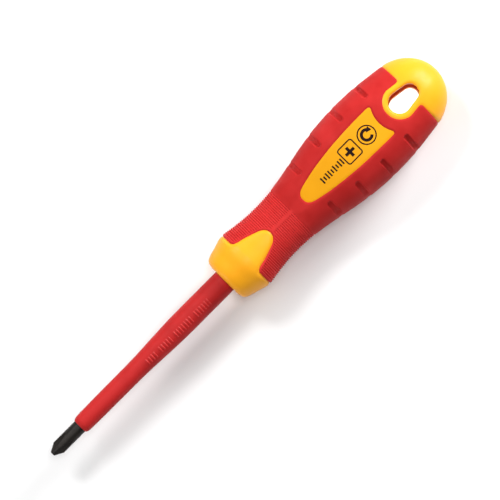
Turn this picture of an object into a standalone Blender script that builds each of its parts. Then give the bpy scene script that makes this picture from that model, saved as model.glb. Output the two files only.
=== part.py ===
"""Insulated cross-head screwdriver, 2 x 100 mm, with a three-colour moulded handle.

The driver lies along X.  Its tip's end flat is at the origin and the handle ends at +X.
+Z comes straight out of the front label and +Y is square to both.  Lengths below are in
millimetres and are turned into metres where the meshes are made.

Pieces: a round steel blade with a pressed anchor, the red insulation moulded on it, a hard
red handle core, and around that core a yellow guard collar, a soft red grip, two yellow
label panels and a yellow end cap with a hanging slot.  Nothing turns or slides.
"""
import math

import bmesh
import bpy
from mathutils import Vector

MM = 0.001
ORIGIN = (0.0, 0.0, 0.0)
GAP = 0.3                     # clearance between neighbouring mouldings

# ---------------------------------------------------------------- blade
BLADE_R = 3.0                 # 6 mm bar
BLADE_END = 166.0             # rear end of the bar, inside the core
TIP_FLAT_R = 1.0              # half width of the cross tip's end flat
TIP_CONE = 3.7                # length of the tip's cone
FLUTE_END = 9.6               # where the four flutes run out
WING_HALF_TIP = 0.46          # half thickness of a wing at the end flat
WING_HALF_RUNOUT = 2.3        # half thickness where the flute leaves the bar
ANCHOR_X = (149.0, 156.0)     # pressed wings that stop the bar from turning
ANCHOR_HALF_Y = 4.4
ANCHOR_HALF_Z = 1.3

# ---------------------------------------------------------------- blade insulation
SLEEVE_FRONT = 16.0
SLEEVE_END = 121.0
SLEEVE_R = 5.2                # radius of its rear half, which enters the handle
SLEEVE_PROFILE = [(SLEEVE_FRONT, 3.55), (16.5, 3.8), (17.5, 3.98), (40.0, 4.12), (50.0, 4.22),
                  (57.0, 4.5), (63.5, 4.84), (70.0, 5.1), (77.0, SLEEVE_R),
                  (SLEEVE_END, SLEEVE_R)]

# ---------------------------------------------------------------- handle
HANDLE_FRONT = 100.0
BORDER_X = 112.35             # guard collar meets the soft grip
GRIP_END = 207.4              # soft grip meets the end cap
TAIL_CENTRE = 204.0
TAIL_LENGTH = 18.4            # the tail is half an ellipse about TAIL_CENTRE
HANDLE_END = TAIL_CENTRE + TAIL_LENGTH
TAIL_START = 208.0            # last station of the tables below
WIDTH = [(100.0, 7.6), (100.35, 9.3), (101.0, 10.4), (102.2, 11.2), (106.5, 12.5),
         (111.2, 13.8), (113.2, 13.95), (115.2, 13.7), (118.8, 13.15), (124.5, 12.55),
         (130.0, 12.35), (137.0, 12.65), (144.0, 13.5), (152.0, 15.0), (161.0, 16.75),
         (170.5, 18.1), (181.0, 18.72), (191.0, 18.42), (200.0, 17.45), (TAIL_START, 16.4)]
OVALITY = [(100.0, 0.98), (106.0, 0.95), (118.0, 0.9), (130.0, 0.875), (150.0, 0.862),
           (181.0, 0.866), (194.0, 0.845), (TAIL_START, 0.8)]
SQUARENESS = [(100.0, 2.0), (118.0, 2.05), (140.0, 2.12), (165.0, 2.35), (195.0, 2.35),
              (TAIL_START, 2.2)]
CROWN_FLAT = [(138.0, 1.0), (150.0, 0.962), (198.0, 0.962), (TAIL_START, 0.985)]

CROWN_BLEND = 0.7             # how softly the flat crown turns into the sides
CORE_FRONT = 103.4
SKIN = 2.3                    # thickness of the mouldings over the core
CORE_TAIL_LENGTH = 16.0
RING_SIDES = 56               # sides of the mouldings' cross-sections
BAR_SIDES = 32
BORE_SIDES = 36
FAR = 25.0                    # beyond every surface of the handle, for cutters

# ---------------------------------------------------------------- outlines seen from +Z
LOBE = [(BORDER_X, 9.3), (112.5, 8.5), (113.0, 7.75), (114.1, 7.15), (115.5, 6.75),
        (117.9, 6.15), (121.9, 4.8), (124.5, 3.75), (126.0, 2.65), (126.85, 1.4)]
LOBE_TIP = 127.15
PANEL_NOSE = 145.8
PANEL_SIDE = [(146.0, 1.35), (146.7, 2.45), (148.0, 3.35), (150.6, 4.15), (154.6, 5.05),
              (158.8, 5.8), (166.8, 6.8), (174.8, 7.4), (183.0, 7.66), (190.1, 7.68),
              (191.1, 7.35), (191.35, 6.6)]
HOLLOW_X = 201.7              # centre of the panel's hollow end
RING_X = 201.8                # centre of the slot's ring
RING_R = 7.25
RING_NECK_HALF = 6.65
HOLLOW_R = 12.2
HOLLOW_HALF_Y = 5.9           # half width of the hollow where it meets the panel's corners
SLOT_FRONT = (201.6, 4.7)     # centre and radius of the slot's wide end
SLOT_REAR = (207.4, 3.85)     # and of its narrow end

# ---------------------------------------------------------------- side notches
NOTCH_X = (152.5, 166.0, 179.6, 193.5)
NOTCH_INNER_Y = (8.1, 10.4, 11.3, 11.0)
NOTCH_HALF_WIDTH = 1.25
NOTCH_DEPTH = 0.85            # at its inner ends; it runs out toward the handle's sides
NOTCH_SIDE_DEPTH = 0.15


def smooth(points, x):
    """Value at x of a monotone cubic through the given (x, value) stations."""
    if x <= points[0][0]:
        return points[0][1]
    if x >= points[-1][0]:
        return points[-1][1]
    slopes = [(b[1] - a[1]) / (b[0] - a[0]) for a, b in zip(points, points[1:])]
    tangents = [slopes[0]]
    for left, right in zip(slopes, slopes[1:]):
        tangents.append(0.0 if left * right <= 0 else 2 * left * right / (left + right))
    tangents.append(slopes[-1])
    i = max(k for k in range(len(points) - 1) if points[k][0] <= x)
    x0, y0 = points[i]
    x1, y1 = points[i + 1]
    h = x1 - x0
    t = (x - x0) / h
    return ((2 * t**3 - 3 * t**2 + 1) * y0 + (t**3 - 2 * t**2 + t) * h * tangents[i]
            + (3 * t**2 - 2 * t**3) * y1 + (t**3 - t**2) * h * tangents[i + 1])


def tail_factor(x, length):
    """Share of the full size left at x on an elliptic tail of the given length."""
    return math.sqrt(max(0.0, 1 - ((x - TAIL_CENTRE) / length) ** 2))


def half_sizes(x, inset):
    """Half width and half thickness of the handle at x, inset from its outer skin."""
    if x <= TAIL_START:
        half_y = smooth(WIDTH, x)
        half_z = half_y * smooth(OVALITY, x)
        return half_y - inset, half_z - inset
    length = TAIL_LENGTH if inset == 0 else CORE_TAIL_LENGTH + SKIN - inset
    wide, thick = half_sizes(TAIL_START, inset)
    factor = tail_factor(x, length) / tail_factor(TAIL_START, length)
    return wide * factor, thick * factor


def section(x, inset, count):
    """One closed cross-section: a squared oval whose crown is cut flat."""
    half_y, half_z = half_sizes(x, inset)
    power = 2 / smooth(SQUARENESS, x)
    flat = smooth(CROWN_FLAT, x)
    blend = CROWN_BLEND * (1 - flat) + 1e-9
    ring = []
    for i in range(count):
        angle = 2 * math.pi * i / count
        c, s = math.cos(angle), math.sin(angle)
        y = math.copysign(abs(c) ** power, c)
        z = abs(s) ** power
        h = max(blend - abs(z - flat), 0) / blend
        z = min(z, flat) - h * h * blend / 4
        ring.append((x, y * half_y, math.copysign(z / flat, s) * half_z))
    return ring


def loft(rings, origin):
    """Closed mesh through rings of equal length, in metres, about the point origin."""
    mesh = bmesh.new()
    rows = []
    for ring in rings:
        rows.append([mesh.verts.new((Vector(p) - Vector(origin)) * MM) for p in ring])
    for a, b in zip(rows, rows[1:]):
        for i in range(len(a)):
            j = (i + 1) % len(a)
            mesh.faces.new((a[i], a[j], b[j], b[i]))
    mesh.faces.new(list(reversed(rows[0])))
    mesh.faces.new(rows[-1])
    bmesh.ops.recalc_face_normals(mesh, faces=mesh.faces)
    return mesh


def merge(mesh, piece):
    """Copy the faces of one bmesh into another and free it."""
    data = bpy.data.meshes.new("piece")
    piece.to_mesh(data)
    piece.free()
    mesh.from_mesh(data)
    bpy.data.meshes.remove(data)


def prism(outline, z0, z1, origin):
    """Closed mesh of a plan outline of (x, y) points between two heights."""
    return loft([[(x, y, z0) for x, y in outline], [(x, y, z1) for x, y in outline]], origin)


def turned(profile, count, origin):
    """Closed solid of revolution about the X axis, from (x, radius) stations."""
    rings = []
    for x, radius in profile:
        rings.append([(x, radius * math.cos(2 * math.pi * i / count),
                       radius * math.sin(2 * math.pi * i / count)) for i in range(count)])
    return loft(rings, origin)


def block(low, high, origin):
    """Axis-aligned box between two corners."""
    corners = [(low[0], low[1]), (high[0], low[1]), (high[0], high[1]), (low[0], high[1])]
    return prism(corners, low[2], high[2], origin)


def grown(outline, distance):
    """Plan outline, counter-clockwise, moved outward by a distance."""
    result = []
    count = len(outline)
    for i in range(count):
        before = Vector(outline[i - 1])
        here = Vector(outline[i])
        after = Vector(outline[(i + 1) % count])
        first = (here - before).normalized()
        second = (after - here).normalized()
        normal = Vector((first.y + second.y, -first.x - second.x)).normalized()
        stretch = 1 / max(0.5, normal.dot(Vector((first.y, -first.x))))
        result.append(tuple(here + normal * distance * stretch))
    return result


def arc(cx, cy, radius, start, end, count):
    """Points on an arc, angles in degrees."""
    points = []
    for i in range(count + 1):
        angle = math.radians(start + (end - start) * i / count)
        points.append((cx + radius * math.cos(angle), cy + radius * math.sin(angle)))
    return points


def material(name, colour, roughness, metallic=0.0):
    made = bpy.data.materials.new(name)
    made.use_nodes = True
    shader = made.node_tree.nodes["Principled BSDF"]
    shader.inputs["Base Color"].default_value = (*colour, 1.0)
    shader.inputs["Roughness"].default_value = roughness
    shader.inputs["Metallic"].default_value = metallic
    return made


def add(name, mesh, origin, paint=None, parent=None):
    """Put a bmesh into the scene as a named object standing at origin (mm)."""
    data = bpy.data.meshes.new(name)
    mesh.to_mesh(data)
    mesh.free()
    if paint is not None:
        data.materials.append(paint)
    made = bpy.data.objects.new(name, data)
    bpy.context.scene.collection.objects.link(made)
    made.location = Vector(origin) * MM
    made.parent = parent
    return made


def cutter(name, mesh):
    """Hidden helper solid, used only by Boolean modifiers."""
    made = add(name, mesh, ORIGIN)
    made.hide_render = True
    made.display_type = "WIRE"
    return made


def cut(target, tool, operation="DIFFERENCE"):
    """Boolean of the target with a cutter."""
    change = target.modifiers.new(tool.name, "BOOLEAN")
    change.operation = operation
    change.solver = "EXACT"
    change.object = tool


def stations(start, end, step):
    """Evenly spaced values of x, about a step apart, with both ends."""
    count = max(1, round((end - start) / step))
    return [start + (end - start) * i / count for i in range(count + 1)]


def tail_stations(length, count):
    """Stations on the elliptic tail, closer together toward its end."""
    first = math.asin((TAIL_START - TAIL_CENTRE) / length)
    last = math.radians(86)
    return [TAIL_CENTRE + length * math.sin(first + (last - first) * i / count)
            for i in range(1, count + 1)]


def handle_skin(xs, inset, count, origin):
    """The handle's outer shape, inset, as one closed solid."""
    return loft([section(x, inset, count) for x in xs], origin)


# ---------------------------------------------------------------- plan outlines
def collar_outline(extra):
    """Guard collar and its two rearward lobes in plan, counter-clockwise."""
    upper = [(BORDER_X, FAR)] + LOBE
    lower = [(x, -y) for x, y in upper]
    front = HANDLE_FRONT - 10.0
    outline = [(front, FAR), (front, -FAR)] + lower + [(LOBE_TIP, 0.0)] + list(reversed(upper))
    return grown(outline, extra) if extra else outline


def panel_outline():
    """Label panel: rounded nose, swelling sides and a hollow end around the slot's ring."""
    half_angle = math.degrees(math.asin(HOLLOW_HALF_Y / HOLLOW_R))
    hollow = arc(HOLLOW_X, 0.0, HOLLOW_R, 180 - half_angle, 180 + half_angle, 12)
    lower = [(x, -y) for x, y in PANEL_SIDE]
    upper = list(reversed(PANEL_SIDE))
    return [(PANEL_NOSE, 0.0)] + lower + list(reversed(hollow)) + upper


def ring_outline(border, extra):
    """End cap in plan: the ring around the slot, its neck and everything behind it."""
    ring = arc(RING_X, 0.0, RING_R, 96, 264, 20)
    neck_lower = [(206.4, -RING_NECK_HALF), (207.0, -RING_NECK_HALF - 0.15),
                  (border, -RING_NECK_HALF - 0.75)]
    neck_upper = [(x, -y) for x, y in reversed(neck_lower)]
    back = HANDLE_END + 10.0
    outline = ring + neck_lower + [(border, -FAR), (back, -FAR), (back, FAR),
                                   (border, FAR)] + neck_upper
    return grown(outline, extra) if extra else outline


def slot_outline(count):
    """Tapered hanging slot: a wide round end toward the tip, a narrow one behind."""
    (x0, r0), (x1, r1) = SLOT_FRONT, SLOT_REAR
    tilt = math.degrees(math.acos((r0 - r1) / (x1 - x0)))
    front = arc(x0, 0.0, r0, tilt, 360 - tilt, count)
    rear = arc(x1, 0.0, r1, -tilt, tilt, count)
    return front + rear


# ---------------------------------------------------------------- pieces
def make_blade(paint, parent):
    chamfer = 0.6
    profile = [(0.0, TIP_FLAT_R), (TIP_CONE, BLADE_R), (BLADE_END - chamfer, BLADE_R),
               (BLADE_END, BLADE_R - chamfer)]
    blade = add("blade", turned(profile, BAR_SIDES, ORIGIN), ORIGIN, paint, parent)
    flutes = bmesh.new()
    slope = (WING_HALF_RUNOUT - WING_HALF_TIP) / FLUTE_END
    for sy, sz in ((1, 1), (1, -1), (-1, 1), (-1, -1)):
        rings = []
        for x in (-1.0, FLUTE_END + 1.0):
            near = WING_HALF_TIP + slope * x
            far = BLADE_R + 2.0
            square = [(near, near), (far, near), (far, far), (near, far)]
            rings.append([(x, y * sy, z * sz) for y, z in square])
        merge(flutes, loft(rings, ORIGIN))
    cut(blade, cutter("cut_flutes", flutes))
    wings = block((ANCHOR_X[0], -ANCHOR_HALF_Y, -ANCHOR_HALF_Z),
                  (ANCHOR_X[1], ANCHOR_HALF_Y, ANCHOR_HALF_Z), ORIGIN)
    cut(blade, cutter("join_anchor", wings), "UNION")
    return blade


def make_insulation(paint, parent):
    origin = (SLEEVE_FRONT, 0.0, 0.0)
    tube = turned(SLEEVE_PROFILE, BORE_SIDES, origin)
    sleeve = add("blade_insulation", tube, origin, paint, parent)
    radius = BLADE_R + GAP
    bore = turned([(SLEEVE_FRONT - 5, radius), (SLEEVE_END + 5, radius)], BORE_SIDES, ORIGIN)
    cut(sleeve, cutter("cut_sleeve_bore", bore))
    return sleeve


def core_mesh(extra, origin):
    """Hard core, or the same shape grown by extra for cutting the mouldings over it."""
    inset = SKIN - extra
    front = CORE_FRONT - extra
    length = CORE_TAIL_LENGTH + SKIN - inset
    xs = [front] + stations(106.0, TAIL_START, 6.0) + tail_stations(length, 6)
    return handle_skin(xs, inset, BORE_SIDES, origin)


def make_core(paint, slot, parent):
    origin = (CORE_FRONT, 0.0, 0.0)
    core = add("handle_core", core_mesh(0.0, origin), origin, paint, parent)
    radius = SLEEVE_R + GAP
    bore = turned([(CORE_FRONT - 10, radius), (SLEEVE_END + GAP, radius)], BORE_SIDES, ORIGIN)
    cut(core, cutter("cut_sleeve_socket", bore))
    radius = BLADE_R + GAP
    bar = turned([(SLEEVE_END - 10, radius), (BLADE_END + GAP, radius)], BAR_SIDES, ORIGIN)
    cut(core, cutter("cut_bar_socket", bar))
    pocket = block((ANCHOR_X[0] - GAP, -ANCHOR_HALF_Y - GAP, -ANCHOR_HALF_Z - GAP),
                   (ANCHOR_X[1] + GAP, ANCHOR_HALF_Y + GAP, ANCHOR_HALF_Z + GAP), ORIGIN)
    cut(core, cutter("cut_anchor_pocket", pocket))
    cut(core, slot)
    return core


def make_collar(paint, core_space, parent):
    origin = (HANDLE_FRONT, 0.0, 0.0)
    xs = [100.0, 100.2, 100.5, 101.0, 101.7, 102.6, 104.0, 106.5, 109.0, 110.8, 111.8, 112.3,
          112.75, 113.4, 114.6, 116.6, 118.8, 121.5, 124.5, 127.6]
    skin = handle_skin(xs, 0.0, RING_SIDES, origin)
    collar = add("front_collar", skin, origin, paint, parent)
    region = cutter("keep_collar", prism(collar_outline(0.0), -FAR, FAR, ORIGIN))
    cut(collar, region, "INTERSECT")
    cut(collar, core_space)
    radius = SLEEVE_R + GAP
    bore = turned([(HANDLE_FRONT - 5, radius), (HANDLE_FRONT + 10, radius)], BORE_SIDES, ORIGIN)
    cut(collar, cutter("cut_collar_bore", bore))
    return collar


def notch_bands():
    """Eight curved bands, four a side, that press the finger notches into the grip."""
    bands = bmesh.new()
    count = 14
    for x, inner_y in zip(NOTCH_X, NOTCH_INNER_Y):
        half_y, half_z = half_sizes(x, 0.0)
        power = 2 / smooth(SQUARENESS, x)
        limit = math.acos((inner_y / half_y) ** (1 / power))
        for side in (1, -1):
            rings = []
            for i in range(count + 1):
                t = -1 + 2 * i / count
                angle = limit * t
                c, s = math.cos(angle) ** power, math.copysign(abs(math.sin(angle)) ** power, t)
                near = min(1.0, (1 - abs(t)) / 0.12)
                half = NOTCH_HALF_WIDTH * math.sqrt(max(0.12, near * (2 - near)))
                floor = NOTCH_SIDE_DEPTH + (NOTCH_DEPTH - NOTCH_SIDE_DEPTH) * abs(t)
                ring = []
                for dx, depth in ((-half, 1.0), (-half * 0.55, -floor),
                                  (half * 0.55, -floor), (half, 1.0)):
                    ring.append((x + dx, side * c * (half_y + depth), s * (half_z + depth)))
                rings.append(ring)
            merge(bands, loft(rings, ORIGIN))
    return bands


def make_grip(paint, core_space, parent):
    origin = (BORDER_X, 0.0, 0.0)
    xs = [BORDER_X + GAP / 2, 113.1, 113.8, 114.8, 116.2, 118.2, 121.0]
    xs += stations(124.5, GRIP_END - GAP / 2, 4.2)
    skin = handle_skin(xs, 0.0, RING_SIDES, origin)
    grip = add("soft_grip", skin, origin, paint, parent)
    lobes = prism(collar_outline(GAP), -FAR, FAR, ORIGIN)
    cut(grip, cutter("cut_lobes", lobes))
    panels = prism(grown(panel_outline(), GAP), -FAR, FAR, ORIGIN)
    cut(grip, cutter("cut_panels", panels))
    ring = prism(ring_outline(GRIP_END + GAP, GAP), -FAR, FAR, ORIGIN)
    cut(grip, cutter("cut_ring", ring))
    cut(grip, core_space)
    cut(grip, cutter("cut_notches", notch_bands()))
    return grip


def make_panel(name, paint, core_space, side, parent):
    origin = (PANEL_NOSE, 0.0, 0.0)
    xs = stations(PANEL_NOSE - 1.8, PANEL_SIDE[-1][0] + 1.65, 4.5)
    panel = add(name, handle_skin(xs, 0.0, RING_SIDES, origin), origin, paint, parent)
    low, high = (2.0, FAR) if side > 0 else (-FAR, -2.0)
    region = cutter("keep_" + name, prism(panel_outline(), low, high, ORIGIN))
    cut(panel, region, "INTERSECT")
    cut(panel, core_space)
    return panel


def make_end_cap(paint, core_space, slot, parent):
    origin = (GRIP_END, 0.0, 0.0)
    xs = stations(TAIL_START - 16.0, TAIL_START, 3.2) + tail_stations(TAIL_LENGTH, 11)
    cap = add("end_cap", handle_skin(xs, 0.0, RING_SIDES, origin), origin, paint, parent)
    outline = ring_outline(GRIP_END + GAP / 2, 0.0)
    region = cutter("keep_cap", prism(outline, -FAR, FAR, ORIGIN))
    cut(cap, region, "INTERSECT")
    cut(cap, core_space)
    cut(cap, slot)
    return cap


def build():
    for old in list(bpy.data.objects):
        bpy.data.objects.remove(old, do_unlink=True)
    steel = material("black_steel", (0.03, 0.026, 0.023), 0.38, 0.85)
    sleeve_red = material("sleeve_red", (0.52, 0.035, 0.035), 0.42)
    core_red = material("core_red", (0.36, 0.03, 0.022), 0.5)
    grip_red = material("grip_red", (0.62, 0.03, 0.032), 0.58)
    yellow = material("cap_yellow", (0.93, 0.47, 0.025), 0.34)
    driver = bpy.data.objects.new("driver_axis", None)
    bpy.context.scene.collection.objects.link(driver)
    core_space = cutter("core_space", core_mesh(GAP, ORIGIN))
    slot = cutter("slot_space", prism(slot_outline(14), -FAR, FAR, ORIGIN))
    make_blade(steel, driver)
    make_insulation(sleeve_red, driver)
    make_core(core_red, slot, driver)
    make_collar(yellow, core_space, driver)
    make_grip(grip_red, core_space, driver)
    make_panel("label_panel_front", yellow, core_space, 1, driver)
    make_panel("label_panel_back", yellow, core_space, -1, driver)
    make_end_cap(yellow, core_space, slot, driver)


build()
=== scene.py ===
"""Looks of an insulated cross-head screwdriver: finished mouldings, steel, print and light.

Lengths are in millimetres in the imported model's frame, unless a name says otherwise: +X runs
from the cross tip to the handle's end and +Z comes straight out of the front label.  On the
handle, x is a station, which is a distance behind the guard face.  Every moulding of the handle
is cut from one skin, its outer surface, so that neighbours meet along the same border line.
"""
import math

import bmesh
import bpy
import numpy as np
from mathutils import Matrix, Vector


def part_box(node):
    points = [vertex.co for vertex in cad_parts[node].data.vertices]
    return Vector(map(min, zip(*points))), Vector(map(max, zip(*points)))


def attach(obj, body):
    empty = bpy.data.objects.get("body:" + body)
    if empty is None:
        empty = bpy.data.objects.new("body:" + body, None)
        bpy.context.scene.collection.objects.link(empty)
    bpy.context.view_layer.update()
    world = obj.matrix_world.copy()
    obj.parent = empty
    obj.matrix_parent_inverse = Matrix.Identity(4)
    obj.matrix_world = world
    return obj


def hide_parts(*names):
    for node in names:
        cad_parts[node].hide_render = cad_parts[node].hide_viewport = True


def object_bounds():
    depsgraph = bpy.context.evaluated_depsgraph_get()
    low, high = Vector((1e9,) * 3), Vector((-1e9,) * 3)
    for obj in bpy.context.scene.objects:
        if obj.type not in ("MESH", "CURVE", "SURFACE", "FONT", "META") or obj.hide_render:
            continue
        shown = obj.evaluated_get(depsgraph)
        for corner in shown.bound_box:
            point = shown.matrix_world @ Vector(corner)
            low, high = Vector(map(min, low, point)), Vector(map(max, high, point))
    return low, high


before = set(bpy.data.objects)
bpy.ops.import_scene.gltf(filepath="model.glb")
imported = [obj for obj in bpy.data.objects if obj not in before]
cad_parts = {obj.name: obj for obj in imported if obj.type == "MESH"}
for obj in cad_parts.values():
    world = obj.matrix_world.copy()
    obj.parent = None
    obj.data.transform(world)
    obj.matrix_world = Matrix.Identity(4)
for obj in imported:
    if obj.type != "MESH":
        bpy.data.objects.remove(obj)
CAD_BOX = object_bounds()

MM = 0.001


def reach(node):
    """Lowest and highest x of a CAD node, in mm."""
    low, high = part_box(node)
    return low.x / MM, high.x / MM


# ---------------------------------------------------------------- driving sizes
TIP_X, _ = reach("blade")
SLEEVE_X, _ = reach("blade_insulation")
FRONT_X, _ = reach("front_collar")          # guard face, where the handle starts
_, END_X = reach("end_cap")
TAIL_LENGTH = 18.4
TAIL = END_X - TAIL_LENGTH - FRONT_X        # the tail is half an ellipse about this station
TAIL_START = 108.0                          # the ellipse takes over from here

# the handle's skin, as (station, value)
HALF_WIDTH = [(0.0, 7.6), (0.35, 9.3), (1.0, 10.4), (2.2, 11.2), (6.5, 12.5), (11.2, 13.8),
              (13.2, 13.95), (15.2, 13.7), (18.8, 13.15), (24.5, 12.55), (30.0, 12.35),
              (37.0, 12.65), (44.0, 13.5), (52.0, 15.0), (61.0, 16.75), (70.5, 18.1),
              (81.0, 18.7), (91.0, 18.42), (100.0, 17.45), (TAIL_START, 16.4)]
# half thickness over half width
OVALITY = [(0.0, 0.98), (6.0, 0.95), (18.0, 0.9), (30.0, 0.875), (50.0, 0.862), (81.0, 0.866),
           (94.0, 0.845), (TAIL_START, 0.8)]
# exponent of the section's oval: 2 is an ellipse, and more is squarer
SQUARENESS = [(0.0, 2.0), (18.0, 2.05), (40.0, 2.12), (65.0, 2.35), (95.0, 2.35),
              (TAIL_START, 2.2)]
# share of the half thickness at which the crown is planed flat
CROWN_FLAT = [(38.0, 1.0), (50.0, 0.962), (98.0, 0.962), (TAIL_START, 0.985)]
CROWN_BLEND = 0.7                           # rounding of the flat's edges, over its depth
NOSE_LENGTH = 2.4                           # rounding behind the guard face

# borders between the mouldings, seen from +Z, as (station, y)
COLLAR_BORDER = 12.35
GRIP_END = 107.4
LOBE = [(COLLAR_BORDER, 9.3), (12.5, 8.5), (13.0, 7.75), (14.1, 7.15), (15.5, 6.75),
        (17.9, 6.15), (21.9, 4.8), (24.5, 3.75), (26.0, 2.65), (26.85, 1.4)]
LOBE_TIP = 27.15
PANEL_NOSE = 45.8
PANEL_SIDE = [(46.0, 1.35), (46.7, 2.45), (48.0, 3.35), (50.6, 4.15), (54.6, 5.05), (58.8, 5.8),
              (66.8, 6.8), (74.8, 7.4), (83.0, 7.66), (90.1, 7.68), (91.1, 7.35), (91.35, 6.6)]
RING_X, RING_R, RING_NECK = 101.8, 7.25, 6.65
HOLLOW_X, HOLLOW_R, HOLLOW_Y = 101.7, 12.2, 5.9
SLOT_WIDE_X, SLOT_WIDE_R = 101.6, 4.7
SLOT_NARROW_X, SLOT_NARROW_R = 107.4, 3.85
OUTSIDE_Y = 30.0                            # well past the handle's sides
BEFORE_X, BEHIND_X = -20.0, 150.0           # well past the handle's ends

# relief on the skin: depths, and the widths over which the surface falls to a seam
COLLAR_SEAM, COLLAR_FALL, GRIP_FALL = 0.55, 1.5, 0.8
CAP_SEAM, CAP_FALL = 0.28, 0.9
LABEL_RECESS = 0.3
LABEL_SEAM, LABEL_FALL = 0.1, 0.3
LABEL_RIM, LABEL_RIM_FALL = 0.36, 0.75      # the grip's rounded rim around the label
SLOT_EDGE, SLOT_FALL = 0.7, 1.0
NOTCH_X = (52.5, 66.0, 79.6, 93.5)
NOTCH_INNER_Y = (8.1, 10.4, 11.3, 11.0)
NOTCH_HALF = 1.25
NOTCH_DEPTH = 1.1
NOTCH_FADE_FROM = 0.9                       # share of the half width: shallower from here out
NOTCH_LOSS = 0.85                           # share of a notch's depth lost at the outline
RIB_PITCH = 0.9
RIB_DEPTH = 0.4
RIB_TOP = 0.02                              # the crests' depth below the plain skin
RIBS_START, RIBS_END = 13.0, 39.7
RIB_STRIP_HALF = 0.7                        # half of the smooth strip along the middle

# under the skin
CORE_DEPTH = 2.3                            # the core's depth below the skin
CAP_THICK = CORE_DEPTH - 0.1
GRIP_THICK = CORE_DEPTH - 0.5
CORE_FRONT = 3.4
SLOT_LINING = 5.0                           # how far the cap's yellow reaches down the slot
SLOT_STEP = 0.1                             # the core's wall stands back by this much

# cross tip, from the tip's end flat
BLADE_R = 3.0
TIP_FLAT_R = 1.0
TIP_CONE = 3.7
WING_HALF, WING_TAPER = 0.44, 0.085         # half thickness of the wings, and its growth
RUNOUT_START, RUNOUT_END = 2.0, 10.2
RUNOUT_RATE, RUNOUT_POWER = 0.0045, 2.45
FLUTE_BLEND = 0.05                          # softens the wings' edges
BLADE_HIDDEN_END = 60.0

# insulating sleeve, as (distance behind its front edge, radius)
SLEEVE_BORE_R = 3.05
SLEEVE_REAR_R = 5.2
SLEEVE_LIP = [(0.0, SLEEVE_BORE_R), (0.0, 3.12), (0.1, 3.32), (0.5, 3.6)]
SLEEVE_SIDE = [(1.75, 3.95), (3.5, 3.99), (13.0, 4.1), (28.0, 4.15), (33.0, 4.2), (38.0, 4.33),
               (43.0, 4.6), (48.0, 4.82), (53.0, 5.05), (57.6, 5.17), (61.0, SLEEVE_REAR_R),
               (90.0, SLEEVE_REAR_R)]
SLEEVE_END = 84.8
SLEEVE_HIDDEN_BORE = [(SLEEVE_END, 4.0), (2.0, SLEEVE_BORE_R)]

# raised bars on the sleeve
MARKS_X, MARK_PITCH, MARK_COUNT = 54.4, 1.46, 25
MARK_GAPS = (4, 10, 18)                     # places left empty, so that the bars form groups
MARKS_ANGLE = math.radians(108.5)           # around the sleeve, from +Y towards +Z
MARK_HALF_LENGTH = 0.3
MARK_HALF_ANGLE = 0.34                      # radians
MARK_RISE, MARK_SUNK = 0.26, 0.02           # height of a bar, of which this much is sunk

# print on the front label
TICKS_X, TICK_PITCH, TICK_WIDTH = 56.9, 1.38, 0.66
TICK_HALVES = {"long": 1.45, "short": 0.95}
TICKS = ("long", "short", "long", "long", "short", "long", "short", "long", "long")
TICKS_Y = -0.4
SIGN_LINE, SIGN_STROKE = 0.55, 1.25
RECESS_X, RECESS_HALF, RECESS_CORNER, PLUS_ARM = 73.0, 3.8, 1.0, 2.3
TURN_X, TURN_R, TURN_ARROW_R = 82.6, 3.85, 2.15
TURN_OPENING = 40                           # degrees, half of the opening in the arrow's ring
INK_LIFT, INK_THICK = 0.012, 0.02


# ---------------------------------------------------------------- curves and outlines
def smooth(points, x):
    """Monotone cubic through (x, value) stations, for an array of x."""
    px, py = np.array(points).T
    h = np.diff(px)
    slope = np.diff(py) / h
    product = slope[:-1] * slope[1:]
    total = np.where(product > 0, slope[:-1] + slope[1:], 1.0)
    inner = np.where(product > 0, 2 * product / total, 0.0)
    tangent = np.concatenate(([slope[0]], inner, [slope[-1]]))
    x = np.clip(x, px[0], px[-1])
    i = np.clip(np.searchsorted(px, x, side="right") - 1, 0, len(h) - 1)
    t = (x - px[i]) / h[i]
    return ((2 * t**3 - 3 * t**2 + 1) * py[i] + (t**3 - 2 * t**2 + t) * h[i] * tangent[i]
            + (3 * t**2 - 2 * t**3) * py[i + 1] + (t**3 - t**2) * h[i] * tangent[i + 1])


def rounded(points, steps=6):
    """Open curve that passes smoothly through a few plan points."""
    p = np.array(points, float)
    p = np.vstack([2 * p[0] - p[1], p, 2 * p[-1] - p[-2]])
    t = np.linspace(0, 1, steps, endpoint=False)[:, None]
    parts = []
    for a, b, c, d in zip(p, p[1:], p[2:], p[3:]):
        parts.append(0.5 * (2 * b + (c - a) * t + (2 * a - 5 * b + 4 * c - d) * t**2
                            + (3 * b - a - 3 * c + d) * t**3))
    return np.vstack(parts + [p[-2:-1]])


def arc(cx, radius, start, end, count):
    """Plan points on an arc centred on the axis, angles in degrees."""
    angle = np.radians(np.linspace(start, end, count + 1))
    return np.column_stack([cx + radius * np.cos(angle), radius * np.sin(angle)])


def mirrored(points):
    """The same curve on the other side of the axis, run backwards."""
    return points[::-1] * (1, -1)


def fade(value, low, high):
    """Smooth step from 0 at low to 1 at high."""
    t = np.clip((value - low) / (high - low), 0, 1)
    return t * t * (3 - 2 * t)


def unit(vectors):
    """The vectors scaled to length 1; a zero vector stays zero."""
    return vectors / np.maximum(np.linalg.norm(vectors, axis=-1, keepdims=True), 1e-9)


def collar_outline():
    """Guard collar and one lobe, with the far sides well outside the handle."""
    side = rounded([(LOBE_TIP, 0.0)] + LOBE[::-1])
    far = np.array([(COLLAR_BORDER, OUTSIDE_Y), (BEFORE_X, OUTSIDE_Y)])
    half = np.vstack([side, far])
    return np.vstack([mirrored(half)[:-1], half])


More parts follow.
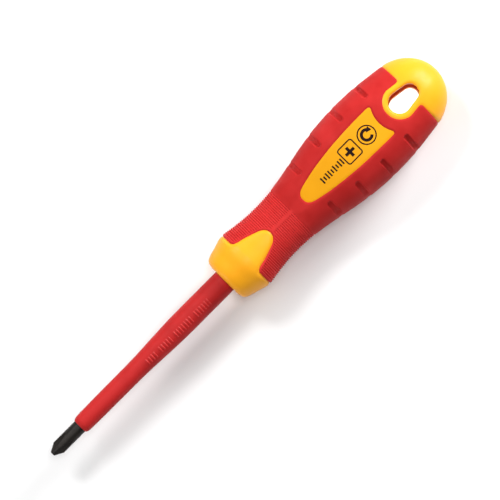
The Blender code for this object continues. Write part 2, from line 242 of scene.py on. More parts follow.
def panel_outline():
    """Rounded nose, swelling sides and a hollow end around the slot's ring."""
    side = rounded([(PANEL_NOSE, 0.0)] + PANEL_SIDE)
    open_angle = math.degrees(math.asin(HOLLOW_Y / HOLLOW_R))
    hollow = arc(HOLLOW_X, HOLLOW_R, 180 - open_angle, 180 + open_angle, 16)
    return np.vstack([side, hollow, mirrored(side)[:-1]])


def cap_outline():
    """Ring around the slot, its neck, and everything behind the grip's end."""
    ring = arc(RING_X, RING_R, 180, 96, 16)
    neck = rounded([(GRIP_END - 1.3, RING_NECK), (GRIP_END - 0.45, RING_NECK + 0.2),
                    (GRIP_END, RING_NECK + 0.95)])
    far = np.array([(GRIP_END, OUTSIDE_Y), (BEHIND_X, OUTSIDE_Y)])
    half = np.vstack([ring, neck, far])
    return np.vstack([half, mirrored(half)[:-1]])


def slot_outline():
    """Tapered hanging slot, wide toward the tip and narrow behind."""
    taper = (SLOT_WIDE_R - SLOT_NARROW_R) / (SLOT_NARROW_X - SLOT_WIDE_X)
    tilt = math.degrees(math.acos(taper))
    return np.vstack([arc(SLOT_WIDE_X, SLOT_WIDE_R, tilt, 360 - tilt, 40),
                      arc(SLOT_NARROW_X, SLOT_NARROW_R, -tilt, tilt, 30)])


def distance(outline, x, y):
    """Signed distance to a closed outline, negative inside, and the nearest border points."""
    best = np.full(x.shape, 1e9)
    near_x, near_y = x.copy(), y.copy()
    inside = np.zeros(x.shape, bool)
    for (ax, ay), (bx, by) in zip(outline, np.roll(outline, -1, axis=0)):
        dx, dy = bx - ax, by - ay
        t = np.clip(((x - ax) * dx + (y - ay) * dy) / (dx * dx + dy * dy + 1e-12), 0, 1)
        qx, qy = ax + t * dx, ay + t * dy
        gap = np.hypot(x - qx, y - qy)
        closer = gap < best
        best = np.where(closer, gap, best)
        near_x = np.where(closer, qx, near_x)
        near_y = np.where(closer, qy, near_y)
        if ay != by:
            crosses = (ay > y) != (by > y)
            inside ^= crosses & (x < ax + (y - ay) * dx / dy)
    return np.where(inside, -best, best), near_x, near_y


OUTLINES = {"collar": collar_outline(), "panel": panel_outline(), "cap": cap_outline(),
            "slot": slot_outline()}


# ---------------------------------------------------------------- the handle's skin
def half_sizes(x):
    """Half width and half thickness of the skin at a station."""
    body = np.minimum(x, TAIL_START)
    half_y = smooth(HALF_WIDTH, body)
    half_z = half_y * smooth(OVALITY, body)
    scale = np.sqrt(np.clip(1 - ((x - TAIL) / TAIL_LENGTH) ** 2, 0, 1))
    scale = scale / math.sqrt(1 - ((TAIL_START - TAIL) / TAIL_LENGTH) ** 2)
    scale = np.where(x > TAIL_START, scale, 1.0)
    return half_y * scale, half_z * scale


def on_skin(x, angle, half_y, half_z, inset=0.0):
    """Points of the squared oval with a flattened crown, at x and angle."""
    power = 2 / smooth(SQUARENESS, x)
    flat = smooth(CROWN_FLAT, x)
    blend = CROWN_BLEND * (1 - flat) + 1e-9
    c, s = np.cos(angle), np.sin(angle)
    up = np.abs(s) ** power
    h = np.maximum(blend - np.abs(up - flat), 0) / blend
    up = (np.minimum(up, flat) - h * h * blend / 4) / flat
    return (x, np.sign(c) * np.abs(c) ** power * (half_y - inset),
            np.sign(s) * up * (half_z - inset))


def angle_for(x, y, upper):
    """Section angle at which the skin has the plan point (x, y)."""
    half_y, _ = half_sizes(x)
    c = np.clip(np.abs(y) / half_y, 0, 1) ** (smooth(SQUARENESS, x) / 2)
    angle = np.arccos(np.sign(y) * c)
    return np.where(upper, angle, -angle)


def rows_of_skin():
    """Rows from the bore in the guard face to the handle's end: x, half width, half thickness.

    They are close together on the ribs and at the notches, and wider apart on plain stretches.
    """
    collar_step, step, notch_reach = 0.36, 0.5, 2.0
    face = np.linspace(SLEEVE_REAR_R + 0.04, HALF_WIDTH[0][1], 7)[:-1]
    nose = NOSE_LENGTH * (1 - np.cos(np.linspace(0, math.pi / 2, 14)))[:-1]
    ribs_from, ribs_to = RIBS_START - RIB_PITCH, RIBS_END + 0.6
    collar = np.arange(NOSE_LENGTH, ribs_from, collar_step)
    ribs = np.arange(ribs_from, ribs_to, RIB_PITCH / 4)
    body = np.arange(ribs_to, TAIL_START, step)
    near_notch = np.min([np.abs(body - n) for n in NOTCH_X], axis=0) < notch_reach
    body = np.unique(np.concatenate([body, body[near_notch] + step / 2]))
    first = math.asin((TAIL_START - TAIL) / TAIL_LENGTH)
    round_end = TAIL + TAIL_LENGTH * np.sin(np.linspace(first, math.pi / 2, 42))
    x = np.concatenate([nose, collar, ribs, body, round_end])
    half_y, half_z = half_sizes(x)
    share = face / HALF_WIDTH[0][1]
    squash = 1 + (OVALITY[0][1] - 1) * (share - share[0]) / (1 - share[0])
    x = np.concatenate([np.zeros(len(face)), x])
    return x, np.concatenate([face, half_y]), np.concatenate([face * squash, half_z])


def skin_grid(count=232):
    """The skin as a grid whose vertices near a border are moved exactly onto it."""
    snap_share = 0.52                       # of the grid's step: nearer vertices are moved
    front_rows_end = 1.0                    # the guard face's rows are left alone
    row_x, row_y, row_z = rows_of_skin()
    shape = (len(row_x), count)
    angle = np.broadcast_to(2 * math.pi * (np.arange(count) + 0.5) / count, shape).copy()
    x = np.broadcast_to(row_x[:, None], shape).copy()
    half_y = np.broadcast_to(row_y[:, None], shape)
    half_z = np.broadcast_to(row_z[:, None], shape)
    _, y, z = on_skin(x, angle, half_y, half_z)
    step_x = np.gradient(x, axis=0)
    step_y = np.abs(np.roll(y, -1, 1) - y)
    step_y = np.maximum(step_y, np.roll(step_y, 1, 1))
    fixed = np.zeros(shape, bool)
    for outline in OUTLINES.values():
        gap, near_x, near_y = distance(outline, x, y)
        size = np.abs(gap) + 1e-12
        pull = np.maximum(np.abs(near_x - x) / size * step_x, np.abs(near_y - y) / size * step_y)
        snap = (np.abs(gap) < snap_share * pull) & ~fixed & (x > front_rows_end)
        sideways = snap & (np.abs(near_y - y) > 1e-6)
        turned = angle_for(near_x, near_y, np.sin(angle) > 0)
        x = np.where(snap, near_x, x)
        angle = np.where(sideways, turned, angle)
        new_y, new_z = half_sizes(x)
        half_y = np.where(snap, new_y, half_y)
        half_z = np.where(snap, new_z, half_z)
        _, y, z = on_skin(x, angle, half_y, half_z)
        fixed |= snap
    return np.stack([x, y, z], axis=-1), fixed


def lip(gap, width, depth):
    """Rounded fall toward a border: full depth at the border, none at width from it."""
    return depth * np.clip(1 - np.abs(gap) / width, 0, 1) ** 2


def notch_relief(x, y):
    """Depth of the round-ended notches across the grip's sides, which fade at the outline."""
    depth = np.zeros(x.shape)
    for place, inner in zip(NOTCH_X, NOTCH_INNER_Y):
        past = np.maximum(inner + NOTCH_HALF - np.abs(y), 0)
        off = np.hypot(x - place, past) / NOTCH_HALF
        depth = np.maximum(depth, NOTCH_DEPTH * np.clip(1 - off**2, 0, 1) ** 0.5)
    half_y, _ = half_sizes(x)
    return depth * (1 - NOTCH_LOSS * fade(np.abs(y) / half_y, NOTCH_FADE_FROM, 1.0))


def rib_relief(x, y, collar_gap):
    """Depth of the fine ribs around the neck, apart from a smooth strip along its middle."""
    zone = fade(collar_gap, 0.5, 1.0) * (1 - fade(x, RIBS_END - 0.1, RIBS_END + 0.15))
    zone = zone * fade(np.abs(y), RIB_STRIP_HALF, RIB_STRIP_HALF + 0.25)
    wave = 0.5 + 0.5 * np.cos(2 * math.pi * (x - RIBS_START) / RIB_PITCH)
    return zone * (RIB_TOP + RIB_DEPTH * wave**2)


def relief(x, y, gaps):
    """Depth below the plain skin of each point: seams, ribs, notches and the label's recess."""
    depth = lip(gaps["collar"], np.where(gaps["collar"] < 0, COLLAR_FALL, GRIP_FALL), COLLAR_SEAM)
    depth += lip(gaps["cap"], CAP_FALL, CAP_SEAM)
    depth += np.where(gaps["panel"] < 0, LABEL_RECESS + lip(gaps["panel"], LABEL_FALL, LABEL_SEAM),
                      lip(gaps["panel"], LABEL_RIM_FALL, LABEL_RIM))
    depth += np.where(gaps["slot"] > 0, lip(gaps["slot"], SLOT_FALL, SLOT_EDGE), SLOT_EDGE)
    grip = (gaps["collar"] >= 0) & (gaps["panel"] >= 0) & (gaps["cap"] >= 0)
    return depth + np.where(grip, notch_relief(x, y) + rib_relief(x, y, gaps["collar"]), 0)


# ---------------------------------------------------------------- mesh making
CREASE = 38.0                               # degrees
WELD = 2e-7                                 # metres


def add_object(name, data):
    """Object for some mesh, camera or light data, linked to the scene."""
    made = bpy.data.objects.new(name, data)
    bpy.context.scene.collection.objects.link(made)
    return made


def finish_mesh(name, vertices, faces, crease=CREASE):
    """Object from points in mm, welded, smooth except across edges sharper than crease."""
    data = bpy.data.meshes.new(name)
    data.from_pydata((np.asarray(vertices) * MM).tolist(), [], faces)
    mesh = bmesh.new()
    mesh.from_mesh(data)
    bmesh.ops.remove_doubles(mesh, verts=mesh.verts, dist=WELD)
    bmesh.ops.recalc_face_normals(mesh, faces=mesh.faces)
    mesh.to_mesh(data)
    mesh.free()
    data.shade_smooth()
    data.set_sharp_from_angle(angle=math.radians(crease))
    return add_object(name, data)


def ring_faces(rows, count, closed=False):
    """Faces of rings of points along X: capped at both ends, or joined end to end if closed."""
    faces = []
    for i in range(rows if closed else rows - 1):
        j = (i + 1) % rows
        for k in range(count):
            n = (k + 1) % count
            faces.append([i * count + k, i * count + n, j * count + n, j * count + k])
    if not closed:
        faces.append(list(range(count)))
        faces.append([(rows - 1) * count + k for k in range(count)][::-1])
    return faces


def dress(piece, paint, slot, *nodes):
    """Give a piece its material, its body and the CAD nodes it stands for. The slot is not used.
    """
    piece.data.materials.clear()
    piece.data.materials.append(paint)
    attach(piece, "root")
    if nodes:
        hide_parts(*nodes)


# ---------------------------------------------------------------- mouldings of the handle
def outward_normals(points):
    """Unit normals of the skin's grid, all pointing out of the handle."""
    along = np.gradient(points, axis=0)
    around = np.roll(points, -1, 1) - np.roll(points, 1, 1)
    normal = unit(np.cross(around, along))
    row = 40                                # any row on the body tells the two sides apart
    outward = np.sum(normal[row] * (points[row] * (0, 1, 1)), axis=-1)
    normal *= np.sign(outward).mean()
    normal[-1] = (1, 0, 0)                  # the last row is a single point
    return normal


def skin_faces(fixed):
    """Faces of the grid: a quad with a border through opposite corners becomes two triangles."""
    rows, count = fixed.shape
    index = np.arange(rows * count).reshape(rows, count)
    a, b = index[:-1], np.roll(index, -1, 1)[:-1]
    c, d = np.roll(index, -1, 1)[1:], index[1:]
    quads = np.stack([a, b, c, d], axis=-1).reshape(-1, 4)
    snapped = fixed.reshape(-1)[quads]
    split_ac = snapped[:, 0] & snapped[:, 2]
    split_bd = snapped[:, 1] & snapped[:, 3] & ~split_ac
    q, r = quads[split_ac], quads[split_bd]
    triangles = np.vstack([q[:, [0, 1, 2]], q[:, [0, 2, 3]], r[:, [0, 1, 3]], r[:, [1, 2, 3]]])
    return quads[~split_ac & ~split_bd], triangles


def owners(middle):
    """Which moulding each face belongs to, from the middles of the faces: one mask per piece."""
    inside = {key: distance(outline, middle[:, 0], middle[:, 1])[0] < 0
              for key, outline in OUTLINES.items()}
    hole = inside["slot"]
    cap = inside["cap"] & ~hole
    panel = inside["panel"] & ~cap
    collar = inside["collar"]
    up = middle[:, 2] > 0
    return {"guard_collar": collar, "soft_grip_skin": ~(hole | cap | panel | collar),
            "label_plate_front": panel & up, "label_plate_back": panel & ~up, "end_cap_skin": cap}


def shell(name, outer, inner, faces):
    """Closed moulding from some of the skin's faces, with walls down to the inner surface."""
    used = np.unique(np.concatenate([np.array(f) for f in faces]))
    index = {int(v): i for i, v in enumerate(used)}
    top = [[index[v] for v in f] for f in faces]
    count = len(used)
    edges = dict.fromkeys(edge for face in top for edge in zip(face, face[1:] + face[:1]))
    border = [(a, b) for a, b in edges if (b, a) not in edges]
    under = [[v + count for v in reversed(face)] for face in top]
    walls = [[b, a, a + count, b + count] for a, b in border]
    return finish_mesh(name, np.vstack([outer[used], inner[used]]), top + under + walls)


def handle_pieces():
    """Cut the skin into guard collar, soft grip, two label plates and end cap."""
    points, fixed = skin_grid()
    x, y, z = points[..., 0], points[..., 1], points[..., 2]
    gaps = {key: distance(outline, x, y)[0] for key, outline in OUTLINES.items()}
    normal = outward_normals(points)
    beside_cap = 0.2                        # the cap's thickness reaches this far past it
    on_border = 0.02                        # nearer than this is on the slot's border
    thick = np.where(gaps["cap"] < beside_cap, CAP_THICK, GRIP_THICK)
    outer = points - normal * relief(x, y, gaps)[..., None]
    inner = points - normal * thick[..., None]
    lining = np.abs(gaps["slot"]) < on_border
    straight_down = points - np.stack([0 * z, 0 * z, np.sign(z) * SLOT_LINING], axis=-1)
    inner = np.where(lining[..., None], straight_down, inner)
    flat_points = points.reshape(-1, 3)
    groups = {}
    for faces in skin_faces(fixed):
        for name, mask in owners(flat_points[faces].mean(axis=1)).items():
            groups.setdefault(name, []).extend(faces[mask].tolist())
    to_frame = np.array([FRONT_X, 0, 0])
    outer = outer.reshape(-1, 3) + to_frame
    inner = inner.reshape(-1, 3) + to_frame
    return {name: shell(name, outer, inner, faces) for name, faces in groups.items()}


def core_solid():
    """The core before the slot is cut: the skin set in, with a tail of the same form."""
    count = 120
    length = TAIL_LENGTH - CORE_DEPTH
    body_end = TAIL_START - 2
    tail_angle = np.linspace(0.14, math.pi / 2 - 0.02, 24)     # stops just short of a point
    xs = np.concatenate([np.linspace(CORE_FRONT, body_end - 0.01, 40),
                         TAIL + length * np.sin(tail_angle)])
    angle = 2 * math.pi * (np.arange(count) + 0.5) / count
    points = []
    for x in xs:
        near = x if x < body_end else TAIL + (x - TAIL) * TAIL_LENGTH / length
        half_y, half_z = half_sizes(np.array(near))
        inset = CORE_DEPTH if x < body_end else CORE_DEPTH * float(half_y) / HALF_WIDTH[-1][1]
        _, y, z = on_skin(np.full(count, x), angle, half_y, half_z, inset)
        points.append(np.column_stack([np.full(count, FRONT_X + x), y, z]))
    return finish_mesh("core_body", np.vstack(points), ring_faces(len(xs), count))


def slot_cutter():
    """Upright block with the slot's outline, a step wider all round."""
    reach_z = 25.0
    outline = OUTLINES["slot"]
    middle = (SLOT_WIDE_X + SLOT_NARROW_X) / 2
    outline = outline + unit(outline - (middle, 0)) * SLOT_STEP
    n = len(outline)
    lower = np.column_stack([outline[:, 0] + FRONT_X, outline[:, 1], np.full(n, -reach_z)])
    upper = lower + (0, 0, 2 * reach_z)
    sides = [[i, (i + 1) % n, (i + 1) % n + n, i + n] for i in range(n)]
    ends = [list(range(n))[::-1], list(range(n, 2 * n))]
    return finish_mesh("slot_cutter", np.vstack([lower, upper]), sides + ends)


def core_piece():
    """Hard core under the mouldings, pierced by the hanging slot."""
    core, plug = core_solid(), slot_cutter()
    change = core.modifiers.new("slot", "BOOLEAN")
    change.operation = "DIFFERENCE"
    change.solver = "EXACT"
    change.object = plug
    bpy.context.view_layer.update()
    graph = bpy.context.evaluated_depsgraph_get()
    cut = bpy.data.meshes.new_from_object(core.evaluated_get(graph))
    core.modifiers.clear()
    core.data = cut
    cut.shade_smooth()
    cut.set_sharp_from_angle(angle=math.radians(CREASE))
    bpy.data.objects.remove(plug, do_unlink=True)
    return core


# ---------------------------------------------------------------- blade and sleeve
def blade_piece():
    """Round bar with a ground cross tip: each section is a circle cut back by four flutes."""
    count = 144
    xs = np.concatenate([np.linspace(0, TIP_CONE, 14), np.linspace(TIP_CONE, RUNOUT_END, 34)[1:],
                         [SLEEVE_X - TIP_X, BLADE_HIDDEN_END]])
    angle = 2 * math.pi * (np.arange(count) + 0.5) / count
    slant = np.minimum(np.abs(np.cos(angle)), np.abs(np.sin(angle)))
    points = []
    for x in xs:
        bar_r = min(BLADE_R, TIP_FLAT_R + (BLADE_R - TIP_FLAT_R) * x / TIP_CONE)
        runout = RUNOUT_RATE * max(x - RUNOUT_START, 0) ** RUNOUT_POWER
        flute = (WING_HALF + WING_TAPER * x + runout) / np.maximum(slant, 1e-3)
        mix = np.clip(0.5 + 0.5 * (flute - bar_r) / FLUTE_BLEND, 0, 1)
        radius = flute * (1 - mix) + bar_r * mix - FLUTE_BLEND * mix * (1 - mix)
        points.append(np.column_stack([np.full(count, TIP_X + x), radius * np.cos(angle),
                                       radius * np.sin(angle)]))
    return finish_mesh("blade_bar", np.vstack(points), ring_faces(len(xs), count), crease=30.0)


def sleeve_radius(x):
    """Radius of the sleeve's side at a distance behind its front edge."""
    return float(smooth(SLEEVE_SIDE, np.asarray(x, float)))


def sleeve_piece():
    """Moulded insulation: chamfered front lip, slim front half, swell toward the guard."""
    count = 96
    side = [(x, sleeve_radius(x)) for x in np.linspace(1.6, SLEEVE_END, 84)[1:]]
    profile = SLEEVE_LIP + SLEEVE_SIDE[:1] + side + SLEEVE_HIDDEN_BORE
    angle = 2 * math.pi * np.arange(count) / count
    points = [np.column_stack([np.full(count, SLEEVE_X + x), r * np.cos(angle), r * np.sin(angle)])
              for x, r in profile]
    faces = ring_faces(len(profile), count, closed=True)
    return finish_mesh("insulation_sleeve", np.vstack(points), faces)


def raised_marks():
    """Row of low raised bars along the sleeve, in place of a moulded inscription."""
    rows, columns = 5, 9
    vertices, faces = [], []
    for i in range(MARK_COUNT):
        if i in MARK_GAPS:
            continue
        middle = MARKS_X - SLEEVE_X + MARK_PITCH * i
        first = len(vertices)
        for u in np.linspace(-1, 1, rows):
            for v in np.linspace(-1, 1, columns):
                edge = max(abs(u), abs(v))
                rise = MARK_RISE * math.sqrt(max(0.0, 1 - edge**3)) - MARK_SUNK
                x = middle + MARK_HALF_LENGTH * u
                radius = sleeve_radius(x) + rise
                angle = MARKS_ANGLE + MARK_HALF_ANGLE * v
                vertices.append((SLEEVE_X + x, radius * math.cos(angle), radius * math.sin(angle)))
        for p in range(rows - 1):
            for q in range(columns - 1):
                k = first + p * columns + q
                faces.append([k, k + 1, k + columns + 1, k + columns])
    return finish_mesh("sleeve_raised_marks", np.array(vertices), faces, crease=60.0)


# ---------------------------------------------------------------- print on the label
def strip(points, width, closed=False):
    """Flat strip along plan points, as (left edge, right edge, closed)."""
    p = np.array(points, float)
    if closed:
        tangent = unit(np.roll(p, -1, 0) - np.roll(p, 1, 0))
    else:
        tangent = unit(np.gradient(p, axis=0))
    side = np.column_stack([-tangent[:, 1], tangent[:, 0]]) * width / 2
    return p + side, p - side, closed


def bar(start, end, width, count=6):
    """Straight strip between two plan points."""
    t = np.linspace(0, 1, count)[:, None]
    return strip(np.array(start) * (1 - t) + np.array(end) * t, width)


def square_strip(cx, half, corner, width):
    """Closed strip along a rounded square centred on the axis."""
    points = []
    for quarter in range(4):
        a = np.radians(np.linspace(90 * quarter, 90 * quarter + 90, 7))
        side_x = 1 if quarter in (0, 3) else -1
        side_y = 1 if quarter in (0, 1) else -1
        points.append(np.column_stack([cx + side_x * (half - corner) + corner * np.cos(a),
                                       side_y * (half - corner) + corner * np.sin(a)]))
    return strip(np.vstack(points), width, True)


def tick_row():
    """A row of plain long and short ticks across the label."""
    strips = []
    for i, kind in enumerate(TICKS):
        x = TICKS_X + TICK_PITCH * i
        half = TICK_HALVES[kind]
        strips.append(bar((x, TICKS_Y - half), (x, TICKS_Y + half), TICK_WIDTH))
    return strips


def recess_sign():
    """A plus in a rounded square, for the cross recess that the driver fits."""
    cx, arm = RECESS_X, PLUS_ARM
    root = 0.62                             # the upright starts at the crossbar's edges
    return [square_strip(cx, RECESS_HALF, RECESS_CORNER, SIGN_LINE),
            bar((cx - arm, 0), (cx + arm, 0), SIGN_STROKE),
            bar((cx, root), (cx, arm), SIGN_STROKE, 3),
            bar((cx, -arm), (cx, -root), SIGN_STROKE, 3)]


def turn_sign():
    """A turning arrow in a circle."""
    cx, opening = TURN_X, math.radians(TURN_OPENING)
    circle = strip(arc(cx, TURN_R, 0, 360, 48)[:-1], SIGN_LINE, True)
    shaft = strip(arc(cx, TURN_ARROW_R, TURN_OPENING, 360 - TURN_OPENING, 39), SIGN_STROKE)
    x = cx + TURN_ARROW_R * math.cos(opening)
    y = TURN_ARROW_R * math.sin(opening)
    head = (np.array([(x + 0.95, y + 1.0), (x - 0.5, y + 0.25)]),
            np.array([(x + 1.25, y - 1.15), (x - 1.1, y - 0.6)]), False)
    return [circle, shaft, head]


def label_print():
    """The printed marks, laid as thin ink on the front label plate."""
    vertices, faces = [], []
    for left, right, closed in tick_row() + recess_sign() + turn_sign():
        start = len(vertices)
        n = len(left)
        for x, y in np.vstack([left, right]):
            _, half_z = half_sizes(np.array(x))
            vertices.append((FRONT_X + x, y, float(half_z - LABEL_RECESS) + INK_LIFT))
        for i in range(n if closed else n - 1):
            j = (i + 1) % n
            faces.append([start + i, start + j, start + n + j, start + n + i])
    data = bpy.data.meshes.new("label_print_front")
    data.from_pydata((np.array(vertices) * MM).tolist(), [], faces)
    made = add_object("label_print_front", data)
    ink = made.modifiers.new("ink", "SOLIDIFY")
    ink.thickness = INK_THICK * MM
    ink.offset = 0
    return made


# ---------------------------------------------------------------- materials
# patterns of the moulded plastics: scales in cells per metre, heights in metres
CLOUD_SCALE, GLOSS_SCALE, WAVE_SCALE = 90, 420, 260
WAVE_STRENGTH, WAVE_HEIGHT = 0.12, 0.0002
GRAIN_HEIGHT = 0.00004
# painted light and shade along the tool: start station, end station, first value, last value
NECK_PAINTED_HIGHLIGHT = (RIBS_END - 0.5, RIBS_END + 0.5, 0.33, -0.1)       # painted highlight: the ribbed neck is lighter, for the light its rib crests catch
SLEEVE_PAINTED_SHADE = (-14.0, 0.0, 0.28, -0.1)                         # painted shade: darker close to the guard, where the guard shades the sleeve


class Paint:
    """A Principled material with short helpers for its procedural nodes."""

    def __init__(self, name, roughness, metallic=0.0):
        self.material = bpy.data.materials.new(name)
        self.material.use_nodes = True
        self.tree = self.material.node_tree
        self.shader = self.tree.nodes["Principled BSDF"]
        self.set("Roughness", roughness)
        self.set("Metallic", metallic)
        self.place = self.tree.nodes.new("ShaderNodeTexCoord").outputs["Object"]

    def link(self, out, into):
        """Join two sockets."""
        self.tree.links.new(out, into)

    def set(self, name, value):
        """Set a value of the shader that is the same all over."""
        self.shader.inputs[name].default_value = value

    def drive(self, name, out):
        """Let a node's output drive one of the shader's inputs."""
        self.link(out, self.shader.inputs[name])

    def noise(self, scale, detail=3.0, roughness=0.55, stretch=None):
        """Noise output; scale is in cells per metre, stretch squeezes it along an axis."""
        node = self.tree.nodes.new("ShaderNodeTexNoise")
        node.inputs["Scale"].default_value = scale
        node.inputs["Detail"].default_value = detail
        node.inputs["Roughness"].default_value = roughness
        source = self.place
        if stretch is not None:
            mapping = self.tree.nodes.new("ShaderNodeMapping")
            mapping.inputs["Scale"].default_value = stretch
            self.link(source, mapping.inputs["Vector"])
            source = mapping.outputs["Vector"]
        self.link(source, node.inputs["Vector"])
        return node.outputs["Fac"]

    def ramp(self, value, low, high, at=(0.35, 0.65)):
        """Colour ramp between two colours."""
        node = self.tree.nodes.new("ShaderNodeValToRGB")
        node.color_ramp.elements[0].position, node.color_ramp.elements[1].position = at
        node.color_ramp.elements[0].color = (*low, 1)
        node.color_ramp.elements[1].color = (*high, 1)
        self.link(value, node.inputs["Fac"])
        return node.outputs["Color"]

    def remap(self, value, start, end, first, last, kind="LINEAR"):
        """Map a value from start..end to first..last."""
        node = self.tree.nodes.new("ShaderNodeMapRange")
        node.interpolation_type = kind
        node.inputs["From Min"].default_value = start
        node.inputs["From Max"].default_value = end
        node.inputs["To Min"].default_value = first
        node.inputs["To Max"].default_value = last
        self.link(value, node.inputs["Value"])
        return node.outputs["Result"]

    def spread(self, value, low, high):
        """Map the usual span of a noise value to a range."""
        return self.remap(value, 0.3, 0.7, low, high)

    def bump(self, value, strength, height, before=None):
        """Normal for a height pattern, on top of another normal if there is one."""
        node = self.tree.nodes.new("ShaderNodeBump")
        node.inputs["Strength"].default_value = strength
        node.inputs["Distance"].default_value = height
        self.link(value, node.inputs["Height"])
        if before is not None:
            self.link(before, node.inputs["Normal"])
        return node.outputs["Normal"]

    def along(self, start, end, first, last):
        """A value that goes from first to last between two stations."""
        split = self.tree.nodes.new("ShaderNodeSeparateXYZ")
        self.link(self.place, split.inputs["Vector"])
        return self.remap(split.outputs["X"], (FRONT_X + start) * MM, (FRONT_X + end) * MM,
                          first, last, "SMOOTHSTEP")

    def add(self, one, other):
        """Sum of two values."""
        node = self.tree.nodes.new("ShaderNodeMath")
        node.operation = "ADD"
        self.link(one, node.inputs[0])
        self.link(other, node.inputs[1])
        return node.outputs["Value"]

    def spot(self, centre, inner, outer, inside, outside):
        """A round patch: one value inside the inner radius, another outside the outer one."""
        away = self.tree.nodes.new("ShaderNodeVectorMath")
        away.operation = "DISTANCE"
        away.inputs[1].default_value = centre
        self.link(self.place, away.inputs[0])
        return self.remap(away.outputs["Value"], inner, outer, inside, outside, "SMOOTHSTEP")


def moulded(name, low, high, rough, grain, grain_strength, specular, painted_light_shift=None):
    """Moulded plastic: faint clouding, uneven gloss and a fine grain of so many cells per metre.

    The painted_light_shift (start, end, first, last) is painted light and shade, added to the
    clouding between two stations, so that the colour leans to its low or its high end along the
    tool.
    """
    paint = Paint(name, rough[0])
    cloud = paint.noise(CLOUD_SCALE, 2.0)
    at = (0.35, 0.65)
    # painted light and shade: lightens or darkens the colour between two stations
    if painted_light_shift is not None:
        cloud = paint.add(cloud, paint.along(*painted_light_shift))
        at = (0.2, 0.8)
    paint.drive("Base Color", paint.ramp(cloud, low, high, at))
    paint.drive("Roughness", paint.spread(paint.noise(GLOSS_SCALE, 3.0), *rough))
    fine = paint.noise(grain, 2.0, 0.6)
    wavy = paint.bump(paint.noise(WAVE_SCALE, 1.0), WAVE_STRENGTH, WAVE_HEIGHT)
    paint.drive("Normal", paint.bump(fine, grain_strength, GRAIN_HEIGHT, wavy))
    paint.set("Specular IOR Level", specular)
    return paint.material


def printed_ink():
    """Flat black print with a little unevenness."""
    ink = Paint("print_ink", 0.6)
    ink.drive("Base Color", ink.ramp(ink.noise(3000, 2.0), (0.010, 0.003, 0.002),
                                     (0.016, 0.005, 0.003)))
    ink.set("Specular IOR Level", 0.1)
    return ink.material


def black_steel():
    """Blackened steel with fine lines along the blade."""
    steel = Paint("black_steel", 0.5, 0.3)
    lines = steel.noise(900, 4.0, 0.6, (0.15, 1.0, 1.0))
    steel.drive("Base Color", steel.ramp(lines, (0.011, 0.009, 0.007), (0.020, 0.016, 0.013)))
    steel.drive("Roughness", steel.spread(steel.noise(2600, 3.0), 0.42, 0.58))
    steel.drive("Normal", steel.bump(lines, 0.25, 0.00005))
    steel.set("Specular IOR Level", 0.3)
    return steel.material


def materials():
    """One material for each finish on the tool."""
    return {
        "yellow": moulded("moulded_yellow", (0.93, 0.39, 0.011), (0.97, 0.415, 0.017),
                          (0.36, 0.46), 5200, 0.2, 0.17),
        # painted shade: the label plates get a darker copy of the moulded yellow, as their flat
        # faces get less light
        "label": moulded("label_yellow_painted_shade", (0.75, 0.322, 0.002), (0.78, 0.34, 0.003),
                         (0.5, 0.6), 5200, 0.3, 0.12),
        # the grip's colour carries a painted highlight on the ribbed neck
        "grip": moulded("grip_red", (0.43, 0.016, 0.015), (0.58, 0.030, 0.029),
                        (0.5, 0.62), 7000, 0.4, 0.06, NECK_PAINTED_HIGHLIGHT),
        # the sleeve's colour carries painted shade close to the guard
        "sleeve": moulded("sleeve_red", (0.34, 0.012, 0.012), (0.51, 0.020, 0.020),
                          (0.5, 0.6), 4200, 0.2, 0.12, SLEEVE_PAINTED_SHADE),
        # painted highlight: the raised bars get a lighter copy of the sleeve red, for the light
        # their edges catch
        "marks": moulded("sleeve_marks_painted_highlight", (0.56, 0.027, 0.025), (0.60, 0.032, 0.03),
                         (0.4, 0.5), 4200, 0.2, 0.3),
        "core": moulded("core_red", (0.66, 0.13, 0.04), (0.72, 0.15, 0.045),
                        (0.8, 0.9), 4000, 0.2, 0.0),
        "ink": printed_ink(),
        "steel": black_steel()}


# ---------------------------------------------------------------- stage, in metres
WORLD_LIGHT = 0.08
FLOOR_HALF, FLOOR_GAP = 6.0, 0.0004
FLOOR_GLOW = 0.12
SLOT_GLOW = 0.95                            # painted pool of light: the floor glows brighter under the hanging slot
SLOT_GLOW_AT = (0.1045, 0.001)              # station and y of the patch
SLOT_GLOW_INNER, SLOT_GLOW_OUTER = 0.0075, 0.0105
LIT_POINT = Vector((0.14, 0, 0))
LIGHT_DISTANCE = 1.1
# name, direction from the tool, diameter, power in watts
LIGHTS = [("key_side", (0.0, 0.65, 0.76), 0.34, 6.8), ("key_end", (0.88, 0.1, 0.36), 0.4, 14.5),
          ("overhead", (0.05, -0.06, 1.0), 0.35, 4.4), ("front_fill", (-0.9, 0.1, 0.35), 0.3, 3.0)]
CAMERA_ROLL = math.radians(3.7)             # tips the view over the tool's long axis
CAMERA_TURN = math.radians(45.125)          # turns the tip to the lower left
CAMERA_DISTANCE = 1.52
FIELD = 0.2047                              # width of the view at the tool
LOOK_AT_X, LOOK_AT_ACROSS = 0.1162, 0.0016
SENSOR = 36                                 # mm, as the lens is


def make_floor():
    """Large pale floor under the belly of the handle, with a painted pool of light that glows
    under the hanging slot.
    """
    half, height = FLOOR_HALF, CAD_BOX[0].z - FLOOR_GAP
    data = bpy.data.meshes.new("floor")
    data.from_pydata([(-half, -half, height), (half, -half, height), (half, half, height),
                      (-half, half, height)], [], [(0, 1, 2, 3)])
    floor = add_object("floor", data)
    paper = Paint("paper_white", 0.9)
    paper.drive("Base Color", paper.ramp(paper.noise(8, 2.0), (0.78, 0.78, 0.78),
                                         (0.81, 0.81, 0.81)))
    paper.set("Emission Color", (1, 1, 1, 1))
    station, y = SLOT_GLOW_AT
    # painted pool of light: the floor's glow is stronger in a round patch under the slot
    paper.drive("Emission Strength",
                paper.spot((FRONT_X * MM + station, y, height), SLOT_GLOW_INNER, SLOT_GLOW_OUTER,
                           SLOT_GLOW, FLOOR_GLOW))
    floor.data.materials.append(paper.material)


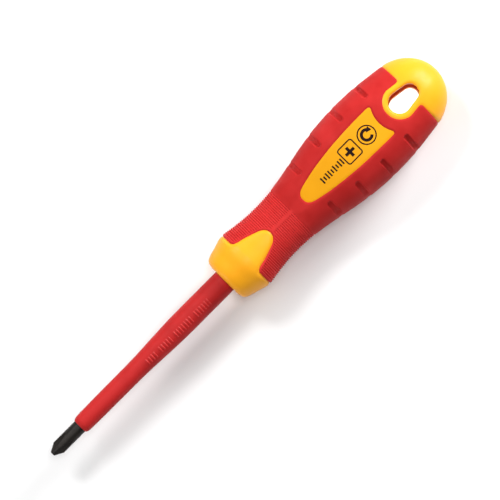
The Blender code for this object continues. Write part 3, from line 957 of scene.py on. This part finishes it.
def make_camera():
    """Camera above the front label, turned so that the tip points to the lower left."""
    across = Vector((0, math.cos(CAMERA_ROLL), math.sin(CAMERA_ROLL)))
    back = Vector((0, -math.sin(CAMERA_ROLL), math.cos(CAMERA_ROLL)))
    right = Vector((math.cos(CAMERA_TURN), 0, 0)) - across * math.sin(CAMERA_TURN)
    up = Vector((math.sin(CAMERA_TURN), 0, 0)) + across * math.cos(CAMERA_TURN)
    target = Vector((LOOK_AT_X, 0, 0)) + across * LOOK_AT_ACROSS
    data = bpy.data.cameras.new("camera")
    data.sensor_width = SENSOR
    data.lens = SENSOR * CAMERA_DISTANCE / FIELD
    data.clip_start, data.clip_end = 0.05, 50
    camera = add_object("camera", data)
    camera.matrix_world = Matrix.Translation(target + back * CAMERA_DISTANCE) @ Matrix(
        (right, up, back)).transposed().to_4x4()
    bpy.context.scene.camera = camera


def area_light(name, place, size, power):
    """Soft round white light that faces the tool."""
    data = bpy.data.lights.new(name, "AREA")
    data.shape = "DISK"
    data.size = size
    data.energy = power
    lamp = add_object(name, data)
    lamp.location = place
    lamp.rotation_mode = "QUATERNION"
    lamp.rotation_quaternion = (LIT_POINT - place).to_track_quat("-Z", "Y")


def make_light():
    """Dim even surroundings, and four soft lights: side, end, overhead and a fill at the tip."""
    world = bpy.data.worlds.new("studio")
    world.use_nodes = True
    world.node_tree.nodes["Background"].inputs["Color"].default_value = (1, 1, 1, 1)
    world.node_tree.nodes["Background"].inputs["Strength"].default_value = WORLD_LIGHT
    bpy.context.scene.world = world
    bpy.context.scene.view_settings.view_transform = "Standard"
    for name, direction, size, power in LIGHTS:
        place = LIT_POINT + Vector(direction).normalized() * LIGHT_DISTANCE
        area_light(name, place, size, power)


# ---------------------------------------------------------------- assembly
def assemble():
    """Make every piece and tie it to its material, its body and the CAD node it stands for."""
    paint = materials()
    made = handle_pieces()
    dress(made["guard_collar"], paint["yellow"], "moulded_yellow", "front_collar")
    dress(made["soft_grip_skin"], paint["grip"], "grip_red", "soft_grip")
    dress(made["label_plate_front"], paint["label"], "moulded_yellow", "label_panel_front")
    dress(made["label_plate_back"], paint["label"], "moulded_yellow", "label_panel_back")
    dress(made["end_cap_skin"], paint["yellow"], "moulded_yellow", "end_cap")
    dress(core_piece(), paint["core"], "core_red", "handle_core")
    dress(blade_piece(), paint["steel"], "black_steel", "blade")
    dress(sleeve_piece(), paint["sleeve"], "sleeve_red", "blade_insulation")
    dress(raised_marks(), paint["marks"], "sleeve_red")
    dress(label_print(), paint["ink"], "moulded_yellow")


make_camera()
make_light()
make_floor()
assemble()
